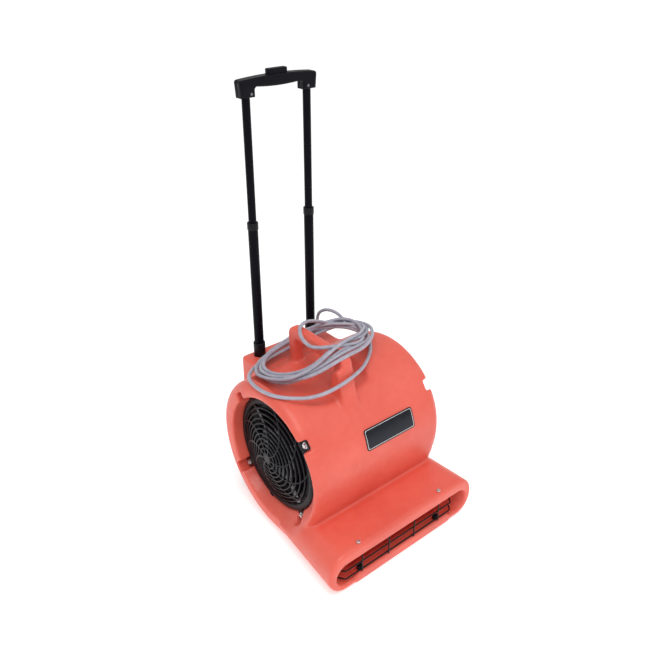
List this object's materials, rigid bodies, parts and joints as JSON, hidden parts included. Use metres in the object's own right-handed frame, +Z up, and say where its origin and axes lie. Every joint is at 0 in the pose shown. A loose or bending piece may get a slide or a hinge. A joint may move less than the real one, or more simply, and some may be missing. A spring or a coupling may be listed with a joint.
{
  "type": "air mover",
  "caption": "Centrifugal carpet-drying blower: snail-shaped moulded housing, low wide air outlet, side inlet grilles, carry handle with wound cord and a telescopic trolley handle.",
  "frame": {"origin": "on the floor, under the middle of the machine's bounding box (free cord left out)", "axes": "+X along the drum's and the fan's axis, towards the right-hand inlet; -Y the way the air leaves the outlet; +Z up"},
  "size_m": [0.4504, 0.478, 1.034],
  "materials": {
    "body_plastic": "rotationally moulded polyethylene, satin with a fine orange-peel texture",
    "label_black": "glossy black name plate with a thin silver border, left blank",
    "wire_black": "black powder coat",
    "black_plastic": "satin black, fine texture",
    "bright_steel": "zinc plated, turned",
    "zinc_steel": "zinc plated sheet and bar",
    "motor_paint": "dark grey enamel",
    "lamination_steel": "punched sheet steel",
    "copper_wire": "lacquered copper wire",
    "pale_plastic": "moulded, matt",
    "black_rubber": "moulded, matt",
    "tyre_rubber": "moulded, matt, lightly scuffed",
    "tube_black": "black anodised, semi-gloss",
    "grip_plastic": "satin black moulding",
    "dark_steel": "dark plated",
    "cord_grey": "soft lavender-grey jacket, satin",
    "brass": "bare brass blades"
  },
  "bodies": {
    "machine": {"housing": "body_plastic", "label_plate": "label_black", "outlet_guard": "wire_black", "guard_clips": "black_plastic", "deck_screws": "bright_steel", "inlet_ring_left": "black_plastic", "inlet_ring_right": "black_plastic", "inlet_guard_left": "black_plastic", "inlet_guard_right": "black_plastic", "guard_spacers": "black_plastic", "guard_bolts": "bright_steel", "motor_bracket": "zinc_steel", "motor_screws": "bright_steel", "motor_rear_cap": "motor_paint", "motor_casing": "motor_paint", "motor_front_cap": "motor_paint", "bearings": "bright_steel", "stator_core": "lamination_steel", "stator_windings": "copper_wire", "control_panel": "black_plastic", "panel_screws": "bright_steel", "speed_switch": "black_plastic", "capacitor": "pale_plastic", "cord_gland": "black_plastic", "strain_relief": "cord_grey", "rubber_feet": "black_rubber", "wheel_axle": "zinc_steel", "axle_caps": "bright_steel", "base_tubes": "tube_black", "base_collars": "black_plastic", "tube_screws": "bright_steel", "cord_lead": "cord_grey", "cord_tail": "cord_grey", "cord_coil": "cord_grey", "plug_body": "cord_grey", "plug_pins": "brass"},
    "fan": {"motor_shaft": "bright_steel", "motor_rotor": "lamination_steel", "fan_wheel": "black_plastic"},
    "lower_stage": {"middle_tube_left": "tube_black", "middle_tube_right": "tube_black", "middle_collars": "black_plastic", "middle_tube_shoes": "black_plastic"},
    "upper_stage": {"top_tube_left": "tube_black", "top_tube_right": "tube_black", "top_tube_shoes": "black_plastic", "grip_front_shell": "grip_plastic", "grip_rear_shell": "grip_plastic", "grip_screws": "dark_steel", "button_spring": "bright_steel"},
    "release": {"release_button": "grip_plastic", "release_fork": "zinc_steel"},
    "left_pin": {"lock_pin_left": "bright_steel"},
    "right_pin": {"lock_pin_right": "bright_steel"},
    "knob": {"speed_knob": "black_plastic"},
    "left_wheel": {"wheel_hub_left": "black_plastic", "tyre_left": "tyre_rubber"},
    "right_wheel": {"wheel_hub_right": "black_plastic", "tyre_right": "tyre_rubber"}
  },
  "joints": [
    {"name": "fan_spin", "type": "hinge", "parent": "machine", "child": "fan", "pos_m": [0, 0.027, 0.21], "axis": [1, 0, 0], "continuous": true},
    {"name": "lower_stage_slide", "type": "slide", "parent": "machine", "child": "lower_stage", "axis": [0, 0, 1], "range_m": [-0.285, 0]},
    {"name": "upper_stage_slide", "type": "slide", "parent": "lower_stage", "child": "upper_stage", "axis": [0, 0, 1], "range_m": [-0.274, 0]},
    {"name": "button_press", "type": "slide", "parent": "upper_stage", "child": "release", "axis": [0, 0, -1], "range_m": [0, 0.004], "stiffness_N_per_m": 900, "springref_m": -0.004, "deforming": ["button_spring"]},
    {"name": "left_pin_retract", "type": "slide", "parent": "upper_stage", "child": "left_pin", "axis": [1, 0, 0], "range_m": [0, 0.002]},
    {"name": "right_pin_retract", "type": "slide", "parent": "upper_stage", "child": "right_pin", "axis": [-1, 0, 0], "range_m": [0, 0.002]},
    {"name": "speed_knob_turn", "type": "hinge", "parent": "machine", "child": "knob", "pos_m": [0, 0.229, 0.276], "axis": [0, 1, 0], "range_deg": [0, 135]},
    {"name": "left_wheel_roll", "type": "hinge", "parent": "machine", "child": "left_wheel", "pos_m": [-0.14, 0.195, 0.034], "axis": [1, 0, 0], "continuous": true},
    {"name": "right_wheel_roll", "type": "hinge", "parent": "machine", "child": "right_wheel", "pos_m": [0.14, 0.195, 0.034], "axis": [1, 0, 0], "continuous": true}
  ],
  "couplings": [
    {"joint": "left_pin_retract", "follows": "button_press", "ratio": 0.5},
    {"joint": "right_pin_retract", "follows": "button_press", "ratio": 0.5}
  ]
}
